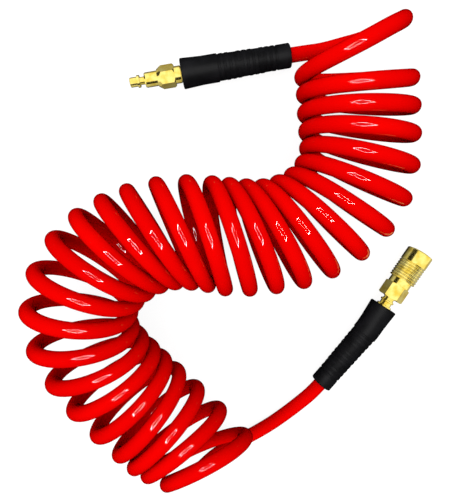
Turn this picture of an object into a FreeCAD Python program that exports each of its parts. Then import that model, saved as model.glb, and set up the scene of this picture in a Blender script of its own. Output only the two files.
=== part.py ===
import FreeCAD, Part
import math
import os
from FreeCAD import Placement, Rotation, Vector

# A coiled polyurethane air hose with a quick plug at one end and a quick coupler at the other.
# Millimetres, +Z up. The hose lies on Z = 0, and the origin is under the middle of its box.

os.makedirs("parts", exist_ok=True)

# Hose
hose_outer_diameter = 12.0
hose_bore_diameter = 8.0
coil_mean_radius = 40.0

# Line that the coil's axis follows on the table: where it starts, its heading in degrees from +X,
# and then arcs as (length, turn in degrees, left turns positive)
coil_start = (85.9, 167.9)
coil_heading = -81.5
coil_arcs = [
    (75, -7), (52, -52.5), (52, -34), (52, -11), (52, 26), (52, 42), (52, 58), (52, 15), (88, 3),
]
coil_run_on = 32.0

# Faces that end the coil solid along its first and last turns: a point at the axis height, the turn's
# heading from its left side to its right side, and how far it leans back at the top, in degrees
first_turn_face = (81.5, 172.5, 26, 0)
last_turn_face = (-18.4, -165.5, 33, 25)

# Free stretches of the hose, as points chosen by hand: (x, y, height over the hose lying on the table)
plug_tail_points = [
    (70.1, 178.6, 1.2), (87.1, 183.5, 0.5), (99.6, 185.6, 4.9), (109.4, 187.1, 13.3), (115.8, 187.4, 24.6),
    (118.4, 185.2, 38), (115.1, 180.7, 51),
]
coupler_tail_points = [
    (0.6, -167.8, 0), (16.6, -159.6, 0), (32.1, -150.1, 0), (45.6, -139.8, 0.5), (56.9, -129, 3),
]
tail_straight = 9.5
fillet_share = 0.45

# Where each boot's hose end is, the headings of the boots and of the fittings
plug_boot_place = (43.3, 173.4)
plug_boot_heading = 189.6
plug_fitting_heading = 189.6
coupler_boot_place = (76.4, -108.0)
coupler_boot_heading = 51.0
coupler_fitting_heading = 57.5

# Boot
boot_length = 89.4
boot_mouth_radius = 12.0
boot_collar_length = 11.0
boot_collar_radius = 9.6
boot_groove_width = 1.6
boot_groove_radius = 9.1
boot_rib_count = 10
boot_rib_width = 2.9
boot_rib_height = 0.5
boot_core_start_radius = 9.4
boot_core_end_radius = 10.4
boot_shell_radius = 11.1
boot_shell_length = 30.0
boot_flare_length = 17.0
boot_mouth_wall = 1.9
boot_mouth_taper = 7.0
boot_edge = 0.7
boot_bend_before_mouth = 26.0
boot_bend_radius = 60.0
hose_held_from = 8.0

# Ferrule and barbed stem
ferrule_length = 20.0
ferrule_wall = 1.4
ferrule_lip = 1.2
ferrule_set_back = 2.5
ferrule_edge = 0.2
crimp_count = 3
crimp_depth = 0.35
crimp_width = 3.2
stem_barb_length = 18.0
stem_barb_count = 4
stem_barb_depth = 0.35
stem_barb_land = 0.4
stem_neck_radius = 4.3
stem_bore_radius = 2.4

# Swivel parts that both ends share
running_gap = 0.05
turned_edge = 0.3
thread_radius = 6.55
thread_end_gap = 0.4
ring_thickness = 0.8
ring_slot = 1.4
ring_side_gap = 0.05
ring_bore_gap = 0.15
o_ring_radius = 0.58
o_ring_groove_width = 1.57
o_ring_squeeze_gap = 0.02

# Plug end. A bevel is the length along the hexagon and the depth at its corners, and a turn is in degrees
# from having a flat on top.
plug_flange_radius = 6.4
plug_flange_front = 0.5
plug_spigot_radius = 4.2
plug_spigot_length = 13.2
plug_o_ring_at = 3.6
plug_swivel_collar_radius = 6.8
plug_thread_length = 9.6
plug_counterbore_depth = 3.4
plug_counterbore_radius = 5.5
plug_hex_from = 5.6
plug_hex_width = 16.0
plug_hex_length = 14.3
plug_hex_turn = -18.0
plug_hex_rear_bevel = (1.2, 1.0)
plug_hex_front_bevel = (3.7, 2.5)
plug_barrel_radius = 5.95
plug_barrel_length = 10.5
plug_neck_radius = 3.1
plug_neck_length = 4.3
plug_ridge_radius = 4.9
plug_ridge_length = 1.9
plug_nose_radius = 3.9
plug_nose_length = 6.2
plug_edge = 0.5
plug_bore_radius = 2.6

# Coupler end
coupler_flange_radius = 6.6
coupler_flange_front = 1.5
coupler_neck_length = 3.0
coupler_spigot_radius = 3.6
coupler_spigot_length = 10.1
coupler_o_ring_at = 8.6
swivel_ring_radius = 6.0
swivel_ring_length = 1.75
swivel_neck_radius = 5.0
swivel_neck_groove = 0.5
swivel_neck_groove_width = 1.2
coupler_thread_length = 7.9
coupler_counterbore_depth = 3.8
coupler_counterbore_radius = 4.9
coupler_hex_from = 9.0
coupler_hex_width = 19.05
coupler_hex_length = 13.2
coupler_hex_turn = -21.0
coupler_hex_bevel = (0.75, 1.5)
adapter_web = 1.7
adapter_web_gap = 0.1
adapter_flow_hole_count = 3
adapter_flow_hole_radius = 1.1
adapter_flow_hole_circle = 3.9

# Coupler body, as depths from its front face unless the name says otherwise
coupler_front = 56.8
socket_radius = 6.05
socket_depth = 10.5
ridge_bore_radius = 5.05
nose_bore_radius = 4.05
valve_seat_depth = 21.4
valve_chamber_radius = 6.2
body_radius = 7.5
body_edge = 0.4
body_collar_radius = 9.5
body_collar_depth = 29.3
body_spigot_radius = 7.8
gasket_thickness = 0.5
seal_groove_width = 2.0
seal_to_seat = 1.0
seal_to_ridge_bore = 0.8
seal_groove_radius = 5.6
seal_inner_radius = 3.85

# Locking balls and sleeve
ball_radius = 2.0
ball_count = 4
ball_first_angle = 45.0
ball_depth = 12.9
ball_centre_radius = 5.5
ball_hole_gap = 0.06
ball_travel = 1.4
sleeve_travel = 2.8
sleeve_radius = 11.4
sleeve_front = 0.8
sleeve_rear = 29.1
sleeve_gap = 0.1
sleeve_ring_pocket_radius = 9.3
sleeve_shoulder = 4.0
sleeve_relief_from = 7.2
sleeve_relief_radius = 9.8
sleeve_spring_from = 17.5
sleeve_collar_gap = 0.15
sleeve_band = 11.4
sleeve_groove_count = 7
sleeve_groove_pitch = 2.4
sleeve_groove_width = 1.5
sleeve_groove_depth = 0.6
sleeve_groove_slope = 0.55
sleeve_edge = 0.6
front_ring_thickness = 1.0
front_ring_inner_radius = 6.9
front_ring_outer_radius = 8.8
spring_wire_radius = 0.45
spring_mean_radius = 8.55
spring_turns = 4
spring_runs_per_turn = 12
spring_seat_gap = 0.05

# Shut-off valve
valve_disc_radius = 5.6
valve_disc_thickness = 1.2
valve_seal_thickness = 1.1
valve_seal_bore_radius = 3.2
valve_nose_length = 2.5
valve_guide_radius = 1.5
valve_guide_past_web = 0.3
valve_spring_wire_radius = 0.4
valve_spring_mean_radius = 3.0
valve_spring_turns = 5
valve_closed_gap = 0.05

# How far a cutting shape runs past what it cuts, and the bend below which a boot counts as straight
cut_margin = 1.0
least_bend = 0.01

# Worked out from the values above
hose_radius = hose_outer_diameter / 2
bore_radius = hose_bore_diameter / 2
coil_outer_radius = coil_mean_radius + hose_radius
coil_axis_height = coil_outer_radius
fitting_height = boot_mouth_radius
ferrule_radius = hose_radius + ferrule_wall
hose_end_at = -ferrule_set_back - ferrule_lip
boot_step_at = boot_length - boot_shell_length
boot_flare_from = boot_length - boot_flare_length
boot_bend_at = boot_length - boot_bend_before_mouth
seal_groove_depth = valve_seat_depth - seal_to_seat - seal_groove_width
ridge_bore_depth = seal_groove_depth - seal_to_ridge_bore
X = Vector(1, 0, 0)
Z = Vector(0, 0, 1)


def heading(degrees):
    """Unit vector on the table for a heading."""
    return Vector(math.cos(math.radians(degrees)), math.sin(math.radians(degrees)), 0)


def lathe(profile):
    """Solid of revolution about the X axis from (distance along the axis, radius) points."""
    points = [Vector(along, radius, 0) for along, radius in profile]
    face = Part.Face(Part.makePolygon(points + points[:1]))
    solid = face.revolve(Vector(0, 0, 0), X, 360)
    return Part.Solid(solid.Shells[0]) if solid.ShapeType != "Solid" else solid


def ring(start, end, inner, outer):
    """Plain tube along the X axis."""
    return lathe([(start, inner), (end, inner), (end, outer), (start, outer)])


def rod(start, end, radius):
    return Part.makeCylinder(radius, end - start, Vector(start, 0, 0), X)


def hexagon(start, end, across_flats, turn, rear_bevel, front_bevel):
    """Hexagon bar along X with bevelled corners, turned by some degrees from having a flat on top."""
    corner = across_flats / math.sqrt(3)
    angles = [math.radians(60 * i + turn) for i in range(6)]
    points = [Vector(start, corner * math.cos(angle), corner * math.sin(angle)) for angle in angles]
    face = Part.Face(Part.makePolygon(points + points[:1]))
    widest = corner + cut_margin
    rear_length, rear_depth = rear_bevel
    front_length, front_depth = front_bevel
    limit = lathe([
        (start, 0), (start, corner - rear_depth), (start + rear_length, corner),
        (start + rear_length, widest), (end - front_length, widest), (end - front_length, corner),
        (end, corner - front_depth), (end, 0),
    ])
    return face.extrude(Vector(end - start, 0, 0)).common(limit)


def torus(at, major, minor):
    return Part.makeTorus(major, minor, Vector(at, 0, 0), X)


def split_ring(start, end, inner, outer, slot):
    """Snap ring: a ring with a slot across its wall."""
    corner = Vector(start - cut_margin, -slot / 2, 0)
    gap = Part.makeBox(end - start + 2 * cut_margin, slot, outer + cut_margin, corner)
    return ring(start, end, inner, outer).cut(gap)


def spring(start, end, mean_radius, wire_radius, turns):
    """Helical spring along X, of short runs and tangent arcs, which lies between start and end."""
    steps = turns * spring_runs_per_turn
    rise = (end - start - 2 * wire_radius) / steps
    corner_radius = mean_radius / math.cos(math.pi / spring_runs_per_turn)
    points = []
    for i in range(steps + 1):
        angle = 2 * math.pi * i / spring_runs_per_turn
        across = Vector(0, math.cos(angle), math.sin(angle)) * corner_radius
        points.append(X * (start + wire_radius + rise * i) + across)
    path = rounded_path(points, corner_radii(points))
    return tube_along(path, points[0], points[1] - points[0], wire_radius)


def placed(shape, place, degrees, along=0.0):
    """A shape made along the X axis, put on the table layout at the fittings' height."""
    origin = Vector(place[0], place[1], fitting_height) + heading(degrees) * along
    moved = shape.copy()
    moved.Placement = Placement(origin, Rotation(Z, degrees)).multiply(moved.Placement)
    return moved


def rounded_path(points, radii):
    """Wire of straight runs joined by tangent arcs, one radius for each inner point."""
    edges = []
    last = points[0]
    for i, radius in enumerate(radii, start=1):
        before = (points[i] - points[i - 1]).normalize()
        after = (points[i + 1] - points[i]).normalize()
        half_turn = before.getAngle(after) / 2
        reach = radius * math.tan(half_turn)
        start = points[i] - before * reach
        end = points[i] + after * reach
        inward = (after - before).normalize()
        middle = points[i] + inward * (radius / math.cos(half_turn) - radius)
        edges.append(Part.LineSegment(last, start).toShape())
        edges.append(Part.Arc(start, middle, end).toShape())
        last = end
    edges.append(Part.LineSegment(last, points[-1]).toShape())
    return Part.Wire(edges)


def corner_radii(points):
    """The radius of each arc: a share of the shorter run over the tangent of half the turn."""
    radii = []
    for i in range(1, len(points) - 1):
        before = points[i] - points[i - 1]
        after = points[i + 1] - points[i]
        shorter = min(before.Length, after.Length)
        radii.append(fillet_share * shorter / math.tan(before.getAngle(after) / 2))
    return radii


def tube_along(wire, start, direction, radius):
    """Solid rod swept along a wire."""
    section = Part.Wire(Part.makeCircle(radius, start, direction))
    return wire.makePipeShell([section], True, True)


def save(name, shape):
    """Writes one node and prints what it measures."""
    shape = shape.removeSplitter() if shape.ShapeType != "Solid" else shape
    solids = shape.Solids
    body = solids[0] if len(solids) == 1 else Part.makeCompound(solids)
    body.exportStep(f"parts/{name}.step")
    box = body.BoundBox
    print(
        f"{name:24s} solids {len(solids)} valid {body.isValid()} volume {body.Volume:10.1f}"
        f"  x {box.XMin:7.1f} {box.XMax:7.1f} y {box.YMin:7.1f} {box.YMax:7.1f}"
        f"  z {box.ZMin:6.2f} {box.ZMax:6.2f}"
    )


# Hose
def coil_path():
    """Arcs of the coil's axis, which run on past the first and the last turn."""
    here = Vector(coil_start[0], coil_start[1], coil_axis_height)
    facing = coil_heading
    edges = []
    for i, (length, turn) in enumerate(coil_arcs):
        rate = turn / length
        begin = -coil_run_on if i == 0 else 0.0
        end = length + coil_run_on if i == len(coil_arcs) - 1 else length
        radius = math.degrees(1 / rate)
        centre = here + heading(facing + 90) * radius
        stops = [
            centre - heading(facing + rate * distance + 90) * radius
            for distance in (begin, (begin + end) / 2, end)
        ]
        edges.append(Part.Arc(*stops).toShape())
        here = stops[-1]
        facing += turn
    return Part.Wire(edges)


def beyond(face, side):
    """Everything past one of the faces that end the coil solid; side is 1 for forwards along the coil."""
    x, y, degrees, lean = face
    outward = heading(degrees - 90) * math.cos(math.radians(lean)) + Z * math.sin(math.radians(lean))
    reach = 2 * coil_outer_radius
    return Part.makeCylinder(reach, reach, Vector(x, y, coil_axis_height), outward * side)


def hose_coil():
    """The coil as one fat rod of its outer diameter."""
    path = coil_path()
    start = path.OrderedVertexes[0].Point
    direction = heading(coil_heading - coil_arcs[0][1] * coil_run_on / coil_arcs[0][0])
    solid = tube_along(path, start, direction, coil_outer_radius)
    print("coil: axis", round(path.Length, 1), "volume over section times length",
          round(solid.Volume / (math.pi * coil_outer_radius**2 * path.Length), 4))
    return solid.cut(beyond(first_turn_face, -1)).cut(beyond(last_turn_face, 1))


def tail(points, name):
    """A free stretch of the hose as a plain rod."""
    radii = corner_radii(points)
    path = rounded_path(points, radii)
    solid = tube_along(path, points[0], points[1] - points[0], hose_radius)
    print(name, "radii", [round(r) for r in radii], "length", round(path.Length, 1),
          "volume over section times length",
          round(solid.Volume / (math.pi * hose_radius**2 * path.Length), 4))
    return solid


def on_table(points):
    """Route points with their heights measured up from a hose that lies on the table."""
    return [Vector(x, y, z + hose_radius) for x, y, z in points]


def boot_point(place, degrees, along):
    """A point on a boot's axis, so far from its hose end."""
    return Vector(place[0], place[1], fitting_height) + heading(degrees) * along


def largest(shape):
    return max(shape.Solids, key=lambda solid: solid.Volume)


def held_path(place, boot_heading, fitting_heading, start):
    """Axis of the hose inside a boot, from start to the end of the hose in the ferrule."""
    bend = boot_point(place, boot_heading, boot_bend_at)
    first = boot_point(place, boot_heading, start)
    last = bend + heading(fitting_heading) * (boot_length + hose_end_at - boot_bend_at)
    if abs(fitting_heading - boot_heading) < least_bend:
        return Part.Wire([Part.LineSegment(first, last).toShape()])
    return rounded_path([first, bend, last], [boot_bend_radius])


def hose_end(place, boot_heading, fitting_heading):
    """The stretch of hose that the boot and the ferrule hold, with its bore."""
    path = held_path(place, boot_heading, fitting_heading, hose_held_from)
    start = boot_point(place, boot_heading, hose_held_from)
    outside = tube_along(path, start, heading(boot_heading), hose_radius)
    inside = tube_along(path, start, heading(boot_heading), bore_radius)
    return outside.cut(inside)


# Boot
def boot_outline_to_step():
    """Outer outline from the hose end to the step: collar, groove and ribs."""
    first = boot_collar_length + boot_groove_width
    pitch = (boot_step_at - first) / boot_rib_count
    slope = (boot_core_end_radius - boot_core_start_radius) / (boot_step_at - first)
    outline = [
        (0, boot_collar_radius - boot_edge), (boot_edge, boot_collar_radius),
        (boot_collar_length, boot_collar_radius), (boot_collar_length, boot_groove_radius),
        (first, boot_groove_radius),
    ]
    for i in range(boot_rib_count):
        start = first + pitch * i
        core = boot_core_start_radius + slope * (start - first)
        top = core + boot_rib_height
        outline += [(start, core), (start + boot_edge / 2, top)]
        outline += [(start + boot_rib_width, top + slope * boot_rib_width)]
        outline += [(start + boot_rib_width + boot_edge / 2, core + slope * boot_rib_width)]
    return outline + [(boot_step_at, boot_core_end_radius), (boot_step_at, boot_shell_radius)]


def boot(place, boot_heading, fitting_heading):
    """Moulded bend restrictor: a ribbed sleeve on the hose and a flared mouth over the ferrule."""
    bend = fitting_heading - boot_heading
    reach = boot_bend_radius * math.tan(math.radians(abs(bend) / 2))
    turn_start = boot_bend_at - reach
    turn_end = boot_bend_at + reach
    rear = lathe(
        [(0, 0)] + boot_outline_to_step() + [(turn_start, boot_shell_radius), (turn_start, 0)]
    )
    front = lathe([
        (turn_end, 0), (turn_end, boot_shell_radius), (boot_flare_from, boot_shell_radius),
        (boot_length - boot_edge, boot_mouth_radius), (boot_length, boot_mouth_radius - boot_edge),
        (boot_length, 0),
    ])
    body = placed(rear, place, boot_heading)
    at_bend = boot_point(place, boot_heading, boot_bend_at)
    axis = (at_bend.x, at_bend.y)
    body = body.fuse(placed(front, axis, fitting_heading, -boot_bend_at))
    if abs(bend) >= least_bend:
        side = math.copysign(1.0, bend)
        start = boot_point(place, boot_heading, turn_start)
        disc = Part.Face(Part.Wire(Part.makeCircle(boot_shell_radius, start, heading(boot_heading))))
        pivot = start + heading(boot_heading + 90 * side) * boot_bend_radius
        body = body.fuse(disc.revolve(pivot, Z * side, abs(bend)))
    seat = boot_length - ferrule_set_back - ferrule_length
    seat_end = boot_length - ferrule_set_back
    mouth_inner = boot_mouth_radius - boot_mouth_wall
    pocket = lathe([
        (seat, 0), (seat, ferrule_radius), (seat_end - boot_mouth_taper, ferrule_radius),
        (boot_length, mouth_inner), (boot_length + cut_margin, mouth_inner), (boot_length + cut_margin, 0),
    ])
    body = body.cut(placed(pocket, axis, fitting_heading, -boot_bend_at))
    hose = tube_along(
        held_path(place, boot_heading, fitting_heading, -cut_margin),
        boot_point(place, boot_heading, -cut_margin), heading(boot_heading), hose_radius,
    )
    return body.cut(hose).removeSplitter()


# Ferrule, stem and snap ring, along the fitting's axis with X = 0 at the boot's mouth
def ferrule():
    """Crimped ferrule: over the hose, with a lip behind the stem's flange."""
    front = -ferrule_set_back
    rear = front - ferrule_length
    pitch = ferrule_length / (crimp_count + 1)
    floor = ferrule_radius - crimp_depth
    outline = [(rear, hose_radius), (rear, ferrule_radius - ferrule_edge)]
    outline += [(rear + ferrule_edge, ferrule_radius)]
    for i in range(crimp_count):
        middle = rear + pitch * (i + 1)
        outline += [(middle - crimp_width / 2, ferrule_radius), (middle - crimp_width / 4, floor)]
        outline += [(middle + crimp_width / 4, floor), (middle + crimp_width / 2, ferrule_radius)]
    outline += [(front, ferrule_radius), (front, stem_neck_radius)]
    outline += [(front - ferrule_lip, stem_neck_radius), (front - ferrule_lip, hose_radius)]
    return lathe(outline)


def stem(flange_radius, flange_front, neck_length, spigot_radius, spigot_length, o_ring_at, ring_at):
    """Barbed stem with a flange, and a spigot with grooves for the O-ring and the snap ring."""
    rear = hose_end_at - stem_barb_length
    pitch = stem_barb_length / stem_barb_count
    outline = [(rear, stem_bore_radius)]
    for i in range(stem_barb_count):
        start = rear + pitch * i
        outline += [(start, bore_radius - stem_barb_depth), (start + pitch - stem_barb_land, bore_radius)]
        outline += [(start + pitch, bore_radius)]
    floor = spigot_radius - 2 * o_ring_radius
    ring_floor = spigot_radius - ring_thickness
    half = o_ring_groove_width / 2
    start = flange_front + neck_length
    outline += [
        (hose_end_at, stem_neck_radius), (-ferrule_set_back, stem_neck_radius),
        (-ferrule_set_back, flange_radius), (flange_front - turned_edge, flange_radius),
        (flange_front, flange_radius - turned_edge),
    ]
    if neck_length > 0:
        outline += [(flange_front, swivel_neck_radius), (start, swivel_neck_radius)]
    outline += [
        (start, spigot_radius), (o_ring_at - half, spigot_radius), (o_ring_at - half, floor),
        (o_ring_at + half, floor), (o_ring_at + half, spigot_radius),
        (ring_at - ring_side_gap, spigot_radius), (ring_at - ring_side_gap, ring_floor),
        (ring_at + ring_thickness + ring_side_gap, ring_floor),
        (ring_at + ring_thickness + ring_side_gap, spigot_radius),
        (start + spigot_length - turned_edge, spigot_radius),
        (start + spigot_length, spigot_radius - turned_edge),
        (start + spigot_length, stem_bore_radius),
    ]
    return lathe(outline)


def swivel_o_ring(at, spigot_radius):
    return torus(at, spigot_radius - o_ring_radius + o_ring_squeeze_gap, o_ring_radius)


def snap_ring(at, spigot_radius, bore):
    inner = spigot_radius - ring_thickness
    return split_ring(at, at + ring_thickness, inner, bore - ring_bore_gap, ring_slot)


# Plug end
plug_ring_at = plug_hex_from + plug_thread_length - plug_counterbore_depth + ring_side_gap


def plug_swivel_body():
    """Collar by the boot and male thread in the plug, running on the stem's spigot."""
    start = plug_flange_front + running_gap
    end = plug_hex_from + plug_thread_length
    step = end - plug_counterbore_depth
    bore = plug_spigot_radius + running_gap
    return lathe([
        (start, bore), (start, plug_swivel_collar_radius - turned_edge),
        (start + turned_edge, plug_swivel_collar_radius),
        (plug_hex_from, plug_swivel_collar_radius), (plug_hex_from, thread_radius),
        (end, thread_radius), (end, plug_counterbore_radius), (step, plug_counterbore_radius), (step, bore),
    ])


def quick_plug():
    """Hexagon with a female thread, then barrel, neck, ridge and nose of the plug."""
    hex_end = plug_hex_from + plug_hex_length
    barrel_end = hex_end + plug_barrel_length
    neck_end = barrel_end + plug_neck_length
    ridge_end = neck_end + plug_ridge_length
    nose_end = ridge_end + plug_nose_length
    thread_end = plug_hex_from + plug_thread_length + thread_end_gap
    bar = hexagon(
        plug_hex_from, hex_end, plug_hex_width, plug_hex_turn, plug_hex_rear_bevel, plug_hex_front_bevel,
    )
    nose = lathe([
        (thread_end, 0), (thread_end, plug_barrel_radius),
        (barrel_end - 2 * plug_edge, plug_barrel_radius), (barrel_end, plug_barrel_radius - plug_edge),
        (barrel_end, plug_neck_radius), (neck_end, plug_neck_radius), (neck_end, plug_ridge_radius),
        (ridge_end, plug_ridge_radius), (ridge_end, plug_nose_radius),
        (nose_end - plug_edge, plug_nose_radius), (nose_end, plug_nose_radius - plug_edge), (nose_end, 0),
    ])
    body = bar.fuse(nose)
    body = body.cut(rod(plug_hex_from - cut_margin, thread_end, thread_radius))
    return body.cut(rod(plug_hex_from, nose_end + cut_margin, plug_bore_radius)).removeSplitter()


# Coupler end
swivel_start = coupler_flange_front + coupler_neck_length + running_gap
coupler_thread_end = coupler_hex_from + coupler_thread_length
coupler_ring_at = coupler_thread_end - coupler_counterbore_depth + ring_side_gap
web_start = coupler_thread_end + adapter_web_gap
web_end = web_start + adapter_web
body_rear = web_end + gasket_thickness
hex_front = coupler_hex_from + coupler_hex_length


def depth(distance):
    """Place along the fitting's axis of a depth behind the coupler's front face."""
    return coupler_front - distance


def coupler_swivel_body():
    """Ring, grooved neck and male thread, running on the stem's spigot."""
    ring_end = swivel_start + swivel_ring_length
    step = coupler_thread_end - coupler_counterbore_depth
    bore = coupler_spigot_radius + running_gap
    groove = (ring_end + coupler_hex_from) / 2
    half = swivel_neck_groove_width / 2
    return lathe([
        (swivel_start, bore), (swivel_start, swivel_ring_radius - turned_edge),
        (swivel_start + turned_edge, swivel_ring_radius), (ring_end - turned_edge, swivel_ring_radius),
        (ring_end, swivel_ring_radius - turned_edge), (ring_end, swivel_neck_radius),
        (groove - half, swivel_neck_radius), (groove - half, swivel_neck_radius - swivel_neck_groove),
        (groove + half, swivel_neck_radius - swivel_neck_groove), (groove + half, swivel_neck_radius),
        (coupler_hex_from, swivel_neck_radius), (coupler_hex_from, thread_radius),
        (coupler_thread_end, thread_radius), (coupler_thread_end, coupler_counterbore_radius),
        (step, coupler_counterbore_radius), (step, bore),
    ])


def coupler_adapter():
    """Hexagon with a thread at each end and a web that guides the valve."""
    hole_start = web_start - cut_margin
    hole_length = adapter_web + 2 * cut_margin
    body = hexagon(
        coupler_hex_from, hex_front, coupler_hex_width, coupler_hex_turn, coupler_hex_bevel,
        coupler_hex_bevel,
    )
    body = body.cut(rod(coupler_hex_from - cut_margin, web_start, thread_radius))
    body = body.cut(rod(web_end, hex_front + cut_margin, body_spigot_radius))
    body = body.cut(rod(hole_start, hole_start + hole_length, valve_guide_radius + running_gap))
    for i in range(adapter_flow_hole_count):
        angle = math.radians(90 + 360 / adapter_flow_hole_count * i)
        out = Vector(0, math.cos(angle), math.sin(angle))
        centre = Vector(hole_start, 0, 0) + out * adapter_flow_hole_circle
        body = body.cut(Part.makeCylinder(adapter_flow_hole_radius, hole_length, centre, X))
    return body


def coupler_gasket():
    return ring(web_end, body_rear, valve_chamber_radius, body_spigot_radius)


def coupler_body():
    """Socket for the plug, ball holes, seal groove and valve chamber."""
    groove_front = sleeve_shoulder - sleeve_gap - front_ring_thickness
    outline = [
        (body_rear, valve_chamber_radius), (body_rear, body_spigot_radius), (hex_front, body_spigot_radius),
        (hex_front, body_collar_radius), (depth(body_collar_depth), body_collar_radius),
        (depth(body_collar_depth), body_radius), (depth(sleeve_shoulder - sleeve_gap), body_radius),
        (depth(sleeve_shoulder - sleeve_gap), front_ring_inner_radius),
        (depth(groove_front), front_ring_inner_radius), (depth(groove_front), body_radius),
        (depth(body_edge), body_radius), (depth(0), body_radius - body_edge), (depth(0), socket_radius),
        (depth(socket_depth), socket_radius), (depth(socket_depth), ridge_bore_radius),
        (depth(ridge_bore_depth), ridge_bore_radius), (depth(ridge_bore_depth), nose_bore_radius),
        (depth(seal_groove_depth), nose_bore_radius), (depth(seal_groove_depth), seal_groove_radius),
        (depth(seal_groove_depth + seal_groove_width), seal_groove_radius),
        (depth(seal_groove_depth + seal_groove_width), nose_bore_radius),
        (depth(valve_seat_depth), nose_bore_radius), (depth(valve_seat_depth), valve_chamber_radius),
    ]
    body = lathe(outline)
    for i in range(ball_count):
        start = Vector(depth(ball_depth), 0, 0)
        reach = body_radius + cut_margin
        hole = Part.makeCylinder(ball_radius + ball_hole_gap, reach, start, ball_direction(i))
        body = body.cut(hole)
    return body


def ball_direction(i):
    """Outward direction of a ball's hole, in the fitting's own frame."""
    angle = math.radians(ball_first_angle + 360 / ball_count * i)
    return Vector(0, math.cos(angle), math.sin(angle))


def locking_ball(i):
    centre = Vector(depth(ball_depth), 0, 0) + ball_direction(i) * ball_centre_radius
    return Part.makeSphere(ball_radius, centre)


def socket_seal():
    """O-ring in the groove behind the ridge bore."""
    minor = (seal_groove_radius - seal_inner_radius) / 2
    return torus(depth(seal_groove_depth + seal_groove_width / 2), seal_inner_radius + minor, minor)


def coupler_sleeve():
    """Grooved sleeve: ring pocket in front, ramp over the balls, spring room behind."""
    land = body_radius + sleeve_gap
    spring_room = body_collar_radius + sleeve_collar_gap
    rise = ball_travel / sleeve_travel
    slope = math.atan(rise)
    ramp_radius_at_ball = ball_centre_radius + (ball_radius + running_gap) / math.cos(slope)
    ramp_top = ball_depth - (sleeve_relief_radius - ramp_radius_at_ball) / rise
    ramp_foot = ball_depth + (ramp_radius_at_ball - land) / rise
    inside = [
        (sleeve_front, sleeve_ring_pocket_radius), (sleeve_shoulder, sleeve_ring_pocket_radius),
        (sleeve_shoulder, land), (sleeve_relief_from, land), (sleeve_relief_from, sleeve_relief_radius),
        (ramp_top, sleeve_relief_radius), (ramp_foot, land), (sleeve_spring_from, land),
        (sleeve_spring_from, spring_room), (sleeve_rear, spring_room),
    ]
    outside = [(sleeve_rear, sleeve_radius - sleeve_edge / 2)]
    outside += [(sleeve_rear - sleeve_edge / 2, sleeve_radius)]
    floor = sleeve_radius - sleeve_groove_depth
    for i in reversed(range(sleeve_groove_count)):
        start = sleeve_front + sleeve_band + sleeve_groove_pitch * i
        end = start + sleeve_groove_width
        outside += [(end, sleeve_radius), (end - sleeve_groove_slope, floor)]
        outside += [(start + sleeve_groove_slope, floor), (start, sleeve_radius)]
    outside += [(sleeve_front + sleeve_edge, sleeve_radius), (sleeve_front, sleeve_radius - sleeve_edge)]
    return lathe([(depth(d), r) for d, r in inside + outside])


def sleeve_retaining_ring():
    rear = depth(sleeve_shoulder - sleeve_gap)
    front = rear + front_ring_thickness
    return split_ring(rear, front, front_ring_inner_radius, front_ring_outer_radius, ring_slot)


def sleeve_spring():
    start = depth(body_collar_depth) + spring_seat_gap
    end = depth(sleeve_spring_from) - spring_seat_gap
    return spring(start, end, spring_mean_radius, spring_wire_radius, spring_turns)


valve_front = depth(valve_seat_depth) - valve_closed_gap
valve_disc_front = valve_front - valve_seal_thickness
valve_disc_rear = valve_disc_front - valve_disc_thickness


def valve_poppet():
    """Disc with a nose that the plug pushes, and a guide pin in the web."""
    body = rod(valve_disc_rear, valve_disc_front, valve_disc_radius)
    body = body.fuse(rod(valve_disc_front, valve_disc_front + valve_nose_length, valve_seal_bore_radius))
    guide_end = web_start - valve_guide_past_web
    return body.fuse(rod(guide_end, valve_disc_rear, valve_guide_radius)).removeSplitter()


def valve_seal():
    return ring(valve_disc_front, valve_front, valve_seal_bore_radius, valve_disc_radius)


def valve_spring():
    start = web_end + spring_seat_gap
    end = valve_disc_rear - spring_seat_gap
    return spring(start, end, valve_spring_mean_radius, valve_spring_wire_radius, valve_spring_turns)


# Build the hose
coil = hose_coil()
save("hose_coil", coil)
plug_exit = [boot_point(plug_boot_place, plug_boot_heading, at) for at in (hose_held_from, -tail_straight)]
plug_tail = tail(plug_exit + on_table(plug_tail_points), "plug tail")
save("hose_tail_plug_end", largest(plug_tail.cut(coil)))
coupler_exit = [
    boot_point(coupler_boot_place, coupler_boot_heading, at) for at in (-tail_straight, hose_held_from)
]
coupler_tail = tail(on_table(coupler_tail_points) + coupler_exit, "coupler tail")
save("hose_tail_coupler_end", largest(coupler_tail.cut(coil)))

# Build both ends: boot, held hose, ferrule, stem and swivel
ends = {
    "plug": (plug_boot_place, plug_boot_heading, plug_fitting_heading),
    "coupler": (coupler_boot_place, coupler_boot_heading, coupler_fitting_heading),
}
fitting_frames = {}
for name, (place, boot_heading, fitting_heading) in ends.items():
    save(f"{name}_boot", boot(place, boot_heading, fitting_heading))
    save(f"hose_end_{name}_side", hose_end(place, boot_heading, fitting_heading))
    at_bend = boot_point(place, boot_heading, boot_bend_at)
    mouth = at_bend + heading(fitting_heading) * (boot_length - boot_bend_at)
    fitting_frames[name] = ((mouth.x, mouth.y), fitting_heading)
    axis = heading(fitting_heading)
    print(name, "mouth", [round(v, 3) for v in mouth], "axis", [round(v, 5) for v in axis])

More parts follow.
